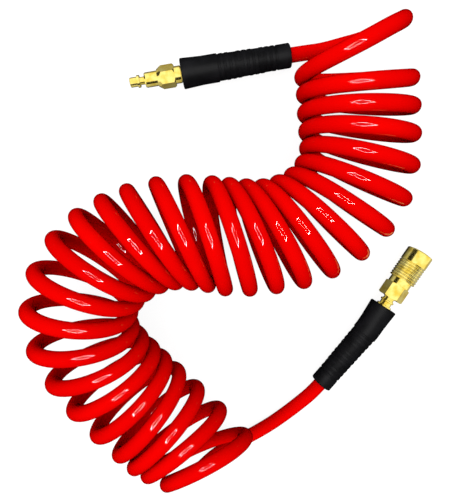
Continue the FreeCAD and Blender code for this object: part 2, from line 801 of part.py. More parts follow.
plug_parts = {
    "plug_ferrule": ferrule(),
    "plug_stem": stem(
        plug_flange_radius, plug_flange_front, 0.0, plug_spigot_radius, plug_spigot_length, plug_o_ring_at,
        plug_ring_at,
    ),
    "plug_o_ring": swivel_o_ring(plug_o_ring_at, plug_spigot_radius),
    "plug_retaining_ring": snap_ring(plug_ring_at, plug_spigot_radius, plug_counterbore_radius),
    "plug_swivel_body": plug_swivel_body(),
    "quick_plug": quick_plug(),
}
coupler_parts = {
    "coupler_ferrule": ferrule(),
    "coupler_stem": stem(
        coupler_flange_radius, coupler_flange_front, coupler_neck_length, coupler_spigot_radius,
        coupler_spigot_length, coupler_o_ring_at, coupler_ring_at,
    ),
    "coupler_o_ring": swivel_o_ring(coupler_o_ring_at, coupler_spigot_radius),
    "coupler_retaining_ring": snap_ring(coupler_ring_at, coupler_spigot_radius, coupler_counterbore_radius),
    "coupler_swivel_body": coupler_swivel_body(),
    "coupler_adapter": coupler_adapter(),
    "coupler_gasket": coupler_gasket(),
    "coupler_body": coupler_body(),
    "coupler_sleeve": coupler_sleeve(),
    "sleeve_retaining_ring": sleeve_retaining_ring(),
    "sleeve_spring": sleeve_spring(),
    "socket_seal": socket_seal(),
    "valve_poppet": valve_poppet(),
    "valve_seal": valve_seal(),
    "valve_spring": valve_spring(),
}
for i in range(ball_count):
    coupler_parts[f"locking_ball_{i + 1}"] = locking_ball(i)
for side, parts in (("plug", plug_parts), ("coupler", coupler_parts)):
    for name, shape in parts.items():
        save(name, placed(shape, *fitting_frames[side]))
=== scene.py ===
# %% [markdown]
# # A coiled air hose
# The real thing is one long tube of red polyurethane, wound into a spring by the maker, with a black
# moulded boot at each end, a brass plug at one end and a brass quick coupler at the other. The brass
# and steel pieces come from the CAD frame and only get new finishes here. The tube and the boots are
# made again, because a solid stands in for all the turns in the frame, and moulded rubber needs softer
# edges than a plain solid has.

# %% Load the frame
import math

import bmesh
import bpy
import numpy as np
from mathutils import Matrix, Vector


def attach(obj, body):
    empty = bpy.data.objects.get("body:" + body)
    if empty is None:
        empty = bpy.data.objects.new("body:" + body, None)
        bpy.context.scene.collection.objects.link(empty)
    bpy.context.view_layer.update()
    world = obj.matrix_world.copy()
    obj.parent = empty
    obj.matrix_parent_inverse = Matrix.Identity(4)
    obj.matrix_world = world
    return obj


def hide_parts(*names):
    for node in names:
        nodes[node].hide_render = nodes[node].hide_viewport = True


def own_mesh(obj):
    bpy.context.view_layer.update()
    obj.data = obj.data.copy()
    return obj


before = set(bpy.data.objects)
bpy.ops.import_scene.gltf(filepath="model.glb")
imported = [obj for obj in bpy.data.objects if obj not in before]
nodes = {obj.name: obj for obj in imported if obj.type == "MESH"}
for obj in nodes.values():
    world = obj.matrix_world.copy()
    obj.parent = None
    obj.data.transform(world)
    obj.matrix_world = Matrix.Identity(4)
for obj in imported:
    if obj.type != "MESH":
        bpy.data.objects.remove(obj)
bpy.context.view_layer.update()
MM = 0.001

# %% [markdown]
# ## Camera
# The picture looks almost straight down from a little under 400 mm, with a short lens, so the near side
# of each turn looks larger than its far side. Place, tilt and lens were worked out from the turns' ends.
# The sensor's 36 mm are as long as the picture's longer side.

# %% Camera
camera_place = Vector((-13.6, 62.2, 383.0)) * MM
camera_tilt = (7.5, 1.0)
camera_data = bpy.data.cameras.new("camera")
camera_data.lens = 31.25
camera_data.sensor_width = 36.0
camera_data.clip_start = 0.01
camera = bpy.data.objects.new("camera", camera_data)
bpy.context.scene.collection.objects.link(camera)
tilt_x = Matrix.Rotation(math.radians(camera_tilt[0]), 3, "X")
tilt_y = Matrix.Rotation(math.radians(camera_tilt[1]), 3, "Y")
camera.matrix_world = Matrix.Translation(camera_place) @ (tilt_x @ tilt_y).transposed().to_4x4()
bpy.context.scene.camera = camera
print("camera at", tuple(round(v, 4) for v in camera_place), "lens", camera_data.lens)

# %% [markdown]
# ## Helpers for finishes
# A finish is a small tree of shader nodes. One function turns a hex colour, as a designer writes it, into
# the linear values that the sockets take, and one adds a node with its settings and its links.

# %% Node and colour helpers
def linear(hex_colour):
    """The linear red, green, blue and alpha of an sRGB hex colour."""
    channels = [int(hex_colour[i:i + 2], 16) / 255 for i in (1, 3, 5)]
    return tuple(c / 12.92 if c <= 0.04045 else ((c + 0.055) / 1.055) ** 2.4 for c in channels) + (1.0,)


def add(tree, kind, inputs=None, **settings):
    """Adds a node. An input takes a value or another node's output socket."""
    node = tree.nodes.new(kind)
    for name, value in settings.items():
        setattr(node, name, value)
    for socket, value in (inputs or {}).items():
        if isinstance(value, bpy.types.NodeSocket):
            tree.links.new(value, node.inputs[socket])
        else:
            node.inputs[socket].default_value = value
    return node


def blank_material(name):
    """A material with an empty tree and its output node."""
    material = bpy.data.materials.new(name)
    material.use_nodes = True
    material.node_tree.nodes.clear()
    return material, material.node_tree


def per(size_mm):
    """The texture scale that makes a pattern's features this many millimetres, on coordinates in metres."""
    return 1 / (size_mm * MM)


# %% [markdown]
# ## The tube's line
# The tube is one smooth curve: out of the plug's boot, along the table, up into the first turn, round 28
# turns and out to the coupler's boot. The coil's axis is a chain of arcs on the table, as in the CAD. A
# real coil that lies in an S is not even: its turns crowd on the inside of a bend and lean over where it
# ends. So their places, headings, leans and sizes are given at a few turns and eased between them.

# %% Route values
hose_radius = 6.0
points_per_turn = 16
# The coil's axis on the table: its start, its heading in degrees, and arcs of (length in mm, bend in degrees)
coil_start = (85.9, 167.9)
coil_heading = -81.5
coil_arcs = [(75, -7), (52, -52.5), (52, -34), (52, -11), (52, 26), (52, 42), (52, 58), (52, 15), (88, 3)]
# How the coil lies, as (turn number, value), in round numbers at the turns where a value changes its
# course: distance along the coil's axis in mm, heading in degrees, lean forwards at the top of the turn in
# mm, and the turn's radius at the tube's middle in mm
distance_at = [
    (0.5, -12), (1, 2), (2, 28), (3, 44), (5, 80), (8, 138), (9, 158), (12, 209), (15, 262), (16, 277),
    (18, 313), (20, 354), (22, 397), (24, 437), (26, 480), (27, 500), (28.5, 538),
]
heading_at = [
    (0.5, 46), (1, 21), (2, 0), (3, -3), (5, -17), (8, -46), (10, -64), (12, -76), (13, -76), (16, -53),
    (18, -39), (20, -15), (22, 13), (24, 36), (25, 44), (26, 43), (28.5, 18),
]
lean_at = [
    (0.5, 0), (2, 4), (4, 0), (7, 0), (10, -4), (15, -3), (18, 0), (20, 5), (24, 5), (25, 1), (26, -6),
    (28.5, -24),
]
turn_radius_at = [(0.5, 38.5), (12, 42), (16, 41), (23, 38.5), (28.5, 39.5)]
# How far the turns' middles lie to the left of the axis, in mm
turns_left_of_axis = 1.0
first_turn, last_turn = 0.75, 28.375
# The stretches between the coil and the boots, in mm. Most points are the CAD's, and those at the boots and
# at the coil's end lead the curve in and out
plug_side = [
    (35.4, 172.1, 12), (52.67, 174.98, 12), (70.1, 178.6, 7.2), (87.1, 183.5, 6.5), (99.6, 185.6, 10.9),
    (109.4, 187.1, 19.3), (115.8, 187.5, 30.6),
]
coupler_side = [
    (-21.4, -180.3, 8.5), (-4.4, -170.8, 6), (16.6, -159.6, 6), (32.1, -150.1, 6), (45.6, -139.8, 6.5),
    (56.9, -129, 9), (70.42, -115.38, 12), (81.43, -101.78, 12),
]


# %% Helix from the route values
def eased(given, turn_number):
    """The value at a turn, on a smooth curve through the given ones."""
    xs, ys = zip(*given)
    last = len(xs) - 1
    i = min(max(k for k in range(last) if xs[k] <= turn_number), last - 1)
    spans = [(max(k - 1, 0), min(k + 1, last)) for k in (i, i + 1)]
    slopes = [(ys[b] - ys[a]) / (xs[b] - xs[a]) for a, b in spans]
    step = xs[i + 1] - xs[i]
    u = (turn_number - xs[i]) / step
    return (
        (2 * u**3 - 3 * u**2 + 1) * ys[i] + (u**3 - 2 * u**2 + u) * step * slopes[0]
        + (3 * u**2 - 2 * u**3) * ys[i + 1] + (u**3 - u**2) * step * slopes[1]
    )


def on_axis(distance):
    """The point of the coil's axis at a distance along its arcs."""
    here = Vector(coil_start)
    facing = coil_heading
    for k, (length, bend) in enumerate(coil_arcs):
        run = distance if k == len(coil_arcs) - 1 else min(distance, length)
        radius = math.degrees(length / bend)
        before, after = math.radians(facing), math.radians(facing + bend / length * run)
        here += radius * Vector((math.sin(after) - math.sin(before), math.cos(before) - math.cos(after)))
        if distance <= length:
            break
        distance -= length
        facing += bend
    return here


def helix_point(turn_number):
    """A control point of the coil: a little outside the line, which then has the turns' radius."""
    turn_radius = eased(turn_radius_at, turn_number)
    radius = turn_radius / math.cos(math.pi / points_per_turn)
    middle = on_axis(max(eased(distance_at, turn_number), 0.0))
    heading = math.radians(eased(heading_at, turn_number))
    phase = 2 * math.pi * turn_number
    across = -turns_left_of_axis - radius * math.sin(phase)
    ahead = eased(lean_at, turn_number) * math.cos(phase)
    return (
        middle.x + across * math.cos(heading) + ahead * math.sin(heading),
        middle.y + across * math.sin(heading) - ahead * math.cos(heading),
        hose_radius + turn_radius + radius * math.cos(phase),
    )


steps = round((last_turn - first_turn) * points_per_turn)
helix = np.array([helix_point(first_turn + k / points_per_turn) for k in range(steps + 1)])
print("helix:", len(helix), "points")


# %% [markdown]
# ## Turns that rest on each other
# On the inside of a bend the turns crowd, and a real tube can't pass through itself: its turns push each
# other aside until they only touch. A short relaxation does the same. Each point is compared with the
# stretches one and two turns further on, and where two are nearer than a diameter each moves away by a
# quarter of what is missing. The moves are smoothed along the tube, because it is stiff, and the rounds
# repeat a set number of times.

# %% Push crowded turns apart
turn_clearance = 0.3
settling_rounds = 120
points_beside = 4
push_share = 0.25
stiffness_weights = (0.1, 0.24, 0.32, 0.24, 0.1)


def settle(points, clearance, rounds):
    """Moves neighbouring turns apart for a given number of rounds, towards the clearance between their lines.
    """
    points = points.copy()
    lowest = np.minimum(points[:, 2], hose_radius)
    count = len(points)
    for _ in range(rounds):
        moves = np.zeros_like(points)
        for ahead in (1, 2):
            for shift in range(-points_beside, points_beside):
                near = np.arange(0, count - ahead * points_per_turn - points_beside)
                far = near + ahead * points_per_turn + shift
                keep = (far >= 0) & (far + 1 < count) & (far - near > points_per_turn / 2)
                a, b = near[keep], far[keep]
                run = points[b + 1] - points[b]
                share = ((points[a] - points[b]) * run).sum(1) / (run * run).sum(1)
                share = np.clip(share, 0, 1)[:, None]
                gap = points[a] - (points[b] + run * share)
                size = np.linalg.norm(gap, axis=1)[:, None]
                missing = np.maximum(clearance - size, 0)
                push = gap / np.maximum(size, 1e-6) * missing * push_share
                np.add.at(moves, a, push)
                np.add.at(moves, b, -push * (1 - share))
                np.add.at(moves, b + 1, -push * share)
        padded = np.pad(moves, ((2, 2), (0, 0)), mode="edge")
        moves = sum(w * padded[k:k + count] for k, w in enumerate(stiffness_weights))
        ends = np.minimum(1, np.minimum(np.arange(count), np.arange(count)[::-1]) / points_per_turn)
        points += moves * ends[:, None]
        points[:, 2] = np.maximum(points[:, 2], lowest)
    return points


settled = settle(helix, 2 * hose_radius + turn_clearance, settling_rounds)
print("settled: largest move", round(float(np.abs(settled - helix).max()), 2), "mm")

# %% [markdown]
# ## The tube
# A NURBS curve takes few points and stays smooth, and a round bevel gives it the tube's thickness. Its
# order and its end points are set after the points are there. The line's real length is then measured.
# The fittings' brass doesn't mirror the tube, because the picture shows no red in it.

# %% Hose curve
route = np.array(plug_side + settled.tolist() + coupler_side) * MM
curve = bpy.data.curves.new("red_hose", "CURVE")
curve.dimensions = "3D"
curve.resolution_u = 4
curve.bevel_depth = hose_radius * MM
curve.bevel_resolution = 16
curve.use_fill_caps = True
spline = curve.splines.new("NURBS")
spline.points.add(len(route) - 1)
for point, place in zip(spline.points, route):
    point.co = (*place, 1.0)
spline.order_u = 3
spline.use_endpoint_u = True
spline.use_smooth = True
hose = bpy.data.objects.new("red_hose", curve)
bpy.context.scene.collection.objects.link(hose)
hose.visible_glossy = False


def line_of(curve_object):
    """The points of a curve's own line, read from a copy without its thickness."""
    bare = curve_object.data.copy()
    bare.bevel_depth = 0.0
    holder = bpy.data.objects.new("line", bare)
    bpy.context.scene.collection.objects.link(holder)
    bpy.context.view_layer.update()
    mesh = bpy.data.meshes.new_from_object(holder.evaluated_get(bpy.context.evaluated_depsgraph_get()))
    places = np.array([v.co for v in mesh.vertices])
    bpy.data.meshes.remove(mesh)
    bpy.data.objects.remove(holder)
    bpy.data.curves.remove(bare)
    return places


line = line_of(hose)
hose_length = float(np.linalg.norm(np.diff(line, axis=0), axis=1).sum())
print("hose:", len(route), "points, line", round(hose_length, 3), "m")

# %% [markdown]
# ## Polyurethane finish
# Polyether polyurethane tube is extruded through a polished die and dyed through. It is glossy, with a
# clear-looking skin, and the light goes a little way in, so it has deep, saturated colour. Extrusion leaves
# a faint slow ripple, which is what makes the light's reflection wavy.

# %% Red polyurethane
def polyurethane(name):
    """Dyed-through polyurethane tube: saturated red, a glossy skin with a faint ripple from the die."""
    material, tree = blank_material(name)
    place = add(tree, "ShaderNodeTexCoord").outputs["Object"]
    cloud = add(tree, "ShaderNodeTexNoise", {"Vector": place, "Scale": per(45), "Detail": 2.0})
    colour = add(tree, "ShaderNodeValToRGB", {"Fac": cloud.outputs["Fac"]})
    colour.color_ramp.elements[0].color = linear("#b80101")
    colour.color_ramp.elements[0].position = 0.3
    colour.color_ramp.elements[1].color = linear("#c20201")
    colour.color_ramp.elements[1].position = 0.7
    ripple = add(tree, "ShaderNodeTexNoise", {"Vector": place, "Scale": per(15), "Detail": 1.0})
    bump = add(tree, "ShaderNodeBump", {
        "Height": ripple.outputs["Fac"], "Strength": 0.04, "Distance": 0.3 * MM,
    })
    scuff = add(tree, "ShaderNodeTexNoise", {"Vector": place, "Scale": per(3), "Detail": 5.0})
    rough = add(tree, "ShaderNodeMapRange", {"Value": scuff.outputs["Fac"], "To Min": 0.0, "To Max": 0.01})
    shader = add(tree, "ShaderNodeBsdfPrincipled", {
        "Base Color": colour.outputs["Color"], "Roughness": rough.outputs["Result"], "IOR": 1.5,
        "Specular IOR Level": 0.5, "Normal": bump.outputs["Normal"],
    })
    add(tree, "ShaderNodeOutputMaterial", {"Surface": shader.outputs["BSDF"]})
    return material


red_polyurethane = polyurethane("polyurethane_extruded_red")
curve.materials.append(red_polyurethane)
print("made", red_polyurethane.name)


# %% [markdown]
# ## Brass finish
# The fittings are turned from free-cutting brass bar and left bright. Turning leaves rings round the axis,
# far too fine to see one by one: they are drawn half a millimetre apart so that they show. The rings need
# the fitting's axis, so the pattern's coordinates are turned to it. The sleeve also has a grip of small
# ridges round it, from its rear up to its smooth front band.

# %% Turned brass
plug_heading = 189.6
coupler_heading = 57.5
# Half the way from ridge to ridge, the share of it that a ridge is deep, and where the smooth band begins
grip_ridge = 0.6 * MM
grip_depth = 0.6
sleeve_band_from = 83.6 * MM


def turned_brass(name, axis_heading, grip_end=0.0):
    """Bright turned brass with fine rings round the axis, and with ridges up to a place on the axis."""
    material, tree = blank_material(name)
    place = add(tree, "ShaderNodeTexCoord").outputs["Object"]
    turned = add(tree, "ShaderNodeMapping", {
        "Vector": place, "Rotation": (0, 0, -math.radians(axis_heading)),
    })
    along = add(tree, "ShaderNodeSeparateXYZ", {"Vector": turned.outputs["Vector"]})
    rings = add(tree, "ShaderNodeTexNoise", {
        "W": along.outputs["X"], "Scale": per(0.5), "Detail": 3.0,
    }, noise_dimensions="1D")
    bump = add(tree, "ShaderNodeBump", {
        "Height": rings.outputs["Fac"], "Strength": 0.25, "Distance": 0.05 * MM,
    })
    if grip_end:
        ridges = add(tree, "ShaderNodeMath", {0: along.outputs["X"], 1: grip_ridge}, operation="PINGPONG")
        inside = add(tree, "ShaderNodeMath", {0: along.outputs["X"], 1: grip_end}, operation="LESS_THAN")
        grip = add(tree, "ShaderNodeMath", {
            0: ridges.outputs[0], 1: inside.outputs[0],
        }, operation="MULTIPLY")
        bump = add(tree, "ShaderNodeBump", {
            "Height": grip.outputs[0], "Strength": 1.0, "Distance": grip_depth,
            "Normal": bump.outputs["Normal"],
        })
    tarnish = add(tree, "ShaderNodeTexNoise", {"Vector": place, "Scale": per(6), "Detail": 4.0})
    colour = add(tree, "ShaderNodeValToRGB", {"Fac": tarnish.outputs["Fac"]})
    colour.color_ramp.elements[0].color = linear("#e8c84c")
    colour.color_ramp.elements[0].position = 0.35
    colour.color_ramp.elements[1].color = linear("#ffeb86")
    colour.color_ramp.elements[1].position = 0.6
    rough = add(tree, "ShaderNodeMapRange", {"Value": tarnish.outputs["Fac"], "To Min": 0.2, "To Max": 0.1})
    shader = add(tree, "ShaderNodeBsdfPrincipled", {
        "Base Color": colour.outputs["Color"], "Metallic": 1.0, "Roughness": rough.outputs["Result"],
        "Normal": bump.outputs["Normal"],
    })
    add(tree, "ShaderNodeOutputMaterial", {"Surface": shader.outputs["BSDF"]})
    return material


plug_brass = turned_brass("brass_turned_plug_end", plug_heading)
coupler_brass = turned_brass("brass_turned_coupler_end", coupler_heading)
sleeve_brass = turned_brass("brass_turned_sleeve", coupler_heading, sleeve_band_from)
print("made", plug_brass.name, coupler_brass.name, sleeve_brass.name)


# %% [markdown]
# ## Steel and rubber
# The springs and snap rings are spring steel wire and strip, drawn and tempered, so they are greyish with
# lines along the metal. The balls are ground and polished. The seals are moulded nitrile rubber, which is
# black and dull. The boots are the same kind of rubber, but injection moulded in a finely blasted tool.

# %% Steel and rubber finishes
def tempered_steel(name, rough_low, rough_high, hex_dark, hex_light):
    """Bare steel: grey metal whose gloss varies with its handling."""
    material, tree = blank_material(name)
    place = add(tree, "ShaderNodeTexCoord").outputs["Object"]
    grain = add(tree, "ShaderNodeTexNoise", {"Vector": place, "Scale": per(0.8), "Detail": 4.0})
    colour = add(tree, "ShaderNodeValToRGB", {"Fac": grain.outputs["Fac"]})
    colour.color_ramp.elements[0].color = linear(hex_dark)
    colour.color_ramp.elements[1].color = linear(hex_light)
    rough = add(tree, "ShaderNodeMapRange", {
        "Value": grain.outputs["Fac"], "To Min": rough_low, "To Max": rough_high,
    })
    shader = add(tree, "ShaderNodeBsdfPrincipled", {
        "Base Color": colour.outputs["Color"], "Metallic": 1.0, "Roughness": rough.outputs["Result"],
    })
    add(tree, "ShaderNodeOutputMaterial", {"Surface": shader.outputs["BSDF"]})
    return material


def moulded_rubber(name, hex_dark, hex_light, grain_mm, rough_low, rough_high, shine):
    """Moulded black rubber: a blasted grain, a little dust in it and a soft sheen."""
    material, tree = blank_material(name)
    place = add(tree, "ShaderNodeTexCoord").outputs["Object"]
    grain = add(tree, "ShaderNodeTexNoise", {"Vector": place, "Scale": per(grain_mm), "Detail": 3.0})
    bump = add(tree, "ShaderNodeBump", {
        "Height": grain.outputs["Fac"], "Strength": 0.3, "Distance": 0.1 * MM,
    })
    cloud = add(tree, "ShaderNodeTexNoise", {"Vector": place, "Scale": per(12), "Detail": 5.0})
    colour = add(tree, "ShaderNodeValToRGB", {"Fac": cloud.outputs["Fac"]})
    colour.color_ramp.elements[0].color = linear(hex_dark)
    colour.color_ramp.elements[0].position = 0.35
    colour.color_ramp.elements[1].color = linear(hex_light)
    colour.color_ramp.elements[1].position = 0.7
    rough = add(tree, "ShaderNodeMapRange", {
        "Value": cloud.outputs["Fac"], "To Min": rough_low, "To Max": rough_high,
    })
    shader = add(tree, "ShaderNodeBsdfPrincipled", {
        "Base Color": colour.outputs["Color"], "Roughness": rough.outputs["Result"], "IOR": 1.52,
        "Specular IOR Level": shine, "Normal": bump.outputs["Normal"],
    })
    add(tree, "ShaderNodeOutputMaterial", {"Surface": shader.outputs["BSDF"]})
    return material


spring_steel = tempered_steel("steel_spring_tempered", 0.25, 0.4, "#8d8d90", "#b9b9bc")
ball_steel = tempered_steel("steel_ball_polished", 0.05, 0.1, "#c4c4c6", "#dcdcde")
seal_rubber = moulded_rubber("rubber_nitrile_seal", "#0b0b0c", "#17171a", 0.4, 0.45, 0.6, 0.4)
boot_rubber = moulded_rubber("rubber_moulded_boot", "#0a0a0c", "#121215", 0.45, 0.42, 0.55, 0.1)
print("made", spring_steel.name, ball_steel.name, seal_rubber.name, boot_rubber.name)

# %% Finishes on the CAD pieces
finish_of = {
    plug_brass: ["plug_ferrule", "plug_stem", "plug_swivel_body", "quick_plug"],
    coupler_brass: [
        "coupler_ferrule", "coupler_stem", "coupler_swivel_body", "coupler_adapter", "coupler_body",
        "valve_poppet",
    ],
    sleeve_brass: ["coupler_sleeve"],
    spring_steel: [
        "plug_retaining_ring", "coupler_retaining_ring", "sleeve_retaining_ring", "sleeve_spring",
        "valve_spring",
    ],
    ball_steel: [f"locking_ball_{i}" for i in range(1, 5)],
    seal_rubber: ["plug_o_ring", "coupler_o_ring", "coupler_gasket", "socket_seal", "valve_seal"],
    red_polyurethane: ["hose_end_plug_side", "hose_end_coupler_side"],
}
for finish, names in finish_of.items():
    for name in names:
        for slot in nodes[name].material_slots:
            slot.material = finish
    print(finish.name, "on", len(names), "pieces")

# %% [markdown]
# ## Springs
# The coupler's sleeve and its valve close up a spring each as they slide back. The springs are copies of
# the CAD ones in spring steel, and they ride on the coupler fitting.

# %% Spring copies
springs = []
for node_name, joint_name in (("sleeve_spring", "sleeve_slide"), ("valve_spring", "valve_slide")):
    spring = bpy.data.objects.new(node_name + "_steel", nodes[node_name].data.copy())
    spring.data.materials.clear()
    spring.data.materials.append(spring_steel)
    bpy.context.scene.collection.objects.link(spring)
    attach(spring, "coupler_fitting")
    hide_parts(node_name)
    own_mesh(spring)
    springs.append(spring)

# %% [markdown]
# ## Boots
# Each boot is a rubber sleeve that keeps the tube from kinking at the fitting: a short collar at the hose
# end, a ribbed part that can bend, and a smooth flared mouth over the ferrule. The sleeve is turned from
# an outline whose corners are rounded, because a moulding has no sharp ones. The ribs are a Geometry Nodes
# tree: one rib is a swept arc with a gap, and copies of it stand along the sleeve, each turned a quarter
# further than the last, so that the gaps leave bridges that bend in every direction.

# %% Boot sizes in mm from the hose end
boot_length = 89.4
boot_bend_at = 63.4
boot_bend_radius = 60.0
fitting_height = 12.0
collar_end, collar_radius = 11.0, 9.6
collar_chamfer = 0.6
groove_radius = 9.1
shell_from, flare_from = 59.4, 72.4
shell_radius = 11.1
# Two rings of points more, where the boot bends
bend_stops = (61.7, 65.1)
mouth_at, mouth_radius = 88.7, 12.0
mouth_rim_inside, mouth_rim_outside = 10.1, 11.3
ferrule_from, funnel_from = 66.9, 79.9
corner_radius = 0.45
points_around = 64
rib_count = 10
rib_start = 12.6
rib_pitch = (shell_from - rib_start) / rib_count
rib_width = 2.9
rib_height = 0.35
rib_sunk = 0.8
rib_gap_degrees = 34.0
rib_corner_radius = 0.35
rib_arc_points = 56
core_radius_start, core_radius_end = 9.4, 10.4
hose_bore, ferrule_bore = 6.1, 7.45
plug_boot_place, coupler_boot_place = (43.3, 173.4), (76.4, -108.0)
coupler_boot_heading = 51.0


# %% Turned outline
def rounded(outline, radius, steps=3):
    """An outline whose corners are cut to short arcs, no longer than a third of the shorter side."""
    soft = [outline[0]]
    for before, corner, after in zip(outline, outline[1:], outline[2:]):
        before, corner, after = Vector(before), Vector(corner), Vector(after)
        into, away = corner - before, after - corner
        reach = min(radius, into.length / 3, away.length / 3)
        first = corner - into.normalized() * reach
        last = corner + away.normalized() * reach
        for k in range(steps + 1):
            u = k / steps
            soft.append(tuple((1 - u) ** 2 * first + 2 * u * (1 - u) * corner + u**2 * last))
    return soft + [outline[-1]]


def turned_mesh(name, outline, around):
    """A closed shell of revolution about X from a closed outline of (distance, radius) in mm."""
    mesh = bpy.data.meshes.new(name)
    count = len(outline)
    vertices = [
        (x * MM, r * math.cos(2 * math.pi * j / around) * MM, r * math.sin(2 * math.pi * j / around) * MM)
        for x, r in outline for j in range(around)
    ]
    faces = [
        (i * around + j, i * around + (j + 1) % around, (i + 1) % count * around + (j + 1) % around,
         (i + 1) % count * around + j)
        for i in range(count) for j in range(around)
    ]
    mesh.from_pydata(vertices, [], faces)
    shell = bmesh.new()
    shell.from_mesh(mesh)
    bmesh.ops.recalc_face_normals(shell, faces=shell.faces)
    shell.to_mesh(mesh)
    shell.free()
    return mesh


boot_outer = [
    (0, hose_bore), (0, collar_radius - collar_chamfer), (collar_chamfer, collar_radius),
    (collar_end, collar_radius), (collar_end, groove_radius), (rib_start, groove_radius),
    (rib_start, core_radius_start), (shell_from, core_radius_end), (shell_from, shell_radius),
    *((stop, shell_radius) for stop in bend_stops), (flare_from, shell_radius),
    (mouth_at, mouth_radius), (boot_length, mouth_rim_outside),
]
boot_inner = [
    (boot_length, mouth_rim_inside), (funnel_from, ferrule_bore), (ferrule_from, ferrule_bore),
    (ferrule_from, hose_bore), (0, hose_bore),
]
boot_outline = rounded(boot_outer + boot_inner, corner_radius)[:-1]
print("boot outline:", len(boot_outline), "points")


# %% Rib tree
def rib_tree():
    """Geometry Nodes: the sleeve that comes in, with broken ribs standing along it."""
    tree = bpy.data.node_groups.new("boot_ribs", "GeometryNodeTree")
    tree.interface.new_socket("Geometry", in_out="INPUT", socket_type="NodeSocketGeometry")
    for name, kind in (
        ("Count", "Int"), ("Start", "Float"), ("Pitch", "Float"), ("Width", "Float"), ("Depth", "Float"),
        ("Radius", "Float"), ("Growth", "Float"), ("Gap", "Float"), ("Material", "Material"),
    ):
        tree.interface.new_socket(name, in_out="INPUT", socket_type=f"NodeSocket{kind}")
    tree.interface.new_socket("Geometry", in_out="OUTPUT", socket_type="NodeSocketGeometry")
    given = add(tree, "NodeGroupInput").outputs
    start = add(tree, "ShaderNodeCombineXYZ", {"X": given["Start"]})
    pitch = add(tree, "ShaderNodeCombineXYZ", {"X": given["Pitch"]})
    stops = add(tree, "GeometryNodeMeshLine", {
        "Count": given["Count"], "Start Location": start.outputs[0], "Offset": pitch.outputs[0],
    })
    sweep = add(tree, "ShaderNodeMath", {0: 2 * math.pi, 1: given["Gap"]}, operation="SUBTRACT")
    arc = add(tree, "GeometryNodeCurveArc", {
        "Resolution": rib_arc_points, "Radius": given["Radius"], "Sweep Angle": sweep.outputs[0],
    })
    section = add(tree, "GeometryNodeCurvePrimitiveQuadrilateral", {
        "Width": given["Depth"], "Height": given["Width"],
    })
    soft = add(tree, "GeometryNodeFilletCurve", {
        "Curve": section.outputs[0], "Radius": rib_corner_radius * MM, "Count": 3,
    }, mode="POLY")
    swept = add(tree, "GeometryNodeCurveToMesh", {
        "Curve": arc.outputs[0], "Profile Curve": soft.outputs[0], "Fill Caps": True,
    })
    upright = add(tree, "GeometryNodeTransform", {
        "Geometry": swept.outputs[0], "Rotation": (0, math.pi / 2, 0),
    })
    index = add(tree, "GeometryNodeInputIndex")
    quarter = add(tree, "ShaderNodeMath", {0: index.outputs[0], 1: math.pi / 2}, operation="MULTIPLY")
    turned = add(tree, "ShaderNodeCombineXYZ", {"X": quarter.outputs[0]})
    growth = add(tree, "ShaderNodeMath", {
        0: index.outputs[0], 1: given["Growth"], 2: 1.0,
    }, operation="MULTIPLY_ADD")
    size = add(tree, "ShaderNodeCombineXYZ", {"X": 1.0, "Y": growth.outputs[0], "Z": growth.outputs[0]})
    ribs = add(tree, "GeometryNodeInstanceOnPoints", {
        "Points": stops.outputs[0], "Instance": upright.outputs[0], "Rotation": turned.outputs[0],
        "Scale": size.outputs[0],
    })
    real = add(tree, "GeometryNodeRealizeInstances", {"Geometry": ribs.outputs[0]})
    joined = add(tree, "GeometryNodeJoinGeometry", {"Geometry": real.outputs[0]})
    tree.links.new(given["Geometry"], joined.inputs[0])
    finish = add(tree, "GeometryNodeSetMaterial", {
        "Geometry": joined.outputs[0], "Material": given["Material"],
    })
    add(tree, "NodeGroupOutput", {0: finish.outputs[0]})
    return tree


boot_ribs = rib_tree()
print("rib tree:", len(boot_ribs.nodes), "nodes")


# %% Bend, place and make the boots
def set_input(modifier, name, value):
    """Sets a modifier's input by the identifier of its socket."""
    sockets = modifier.node_group.interface.items_tree
    identifier = next(s.identifier for s in sockets if s.name == name and s.in_out == "INPUT")
    modifier[identifier] = value


def bent(place, bend_degrees):
    """Where a point of the straight boot goes when the boot bends near its mouth, in mm."""
    x, y, z = place
    if bend_degrees == 0:
        return place
    bend = math.radians(bend_degrees)
    reach = boot_bend_radius * math.tan(bend / 2)
    begin = boot_bend_at - reach
    if x <= begin:
        return place
    share = min((x - begin) / (2 * reach), 1.0)
    angle = bend * share
    past = max(x - boot_bend_at - reach, 0.0)
    radius = boot_bend_radius - y
    return (
        begin + radius * math.sin(angle) + past * math.cos(angle),
        boot_bend_radius - radius * math.cos(angle) + past * math.sin(angle),
        z,
    )


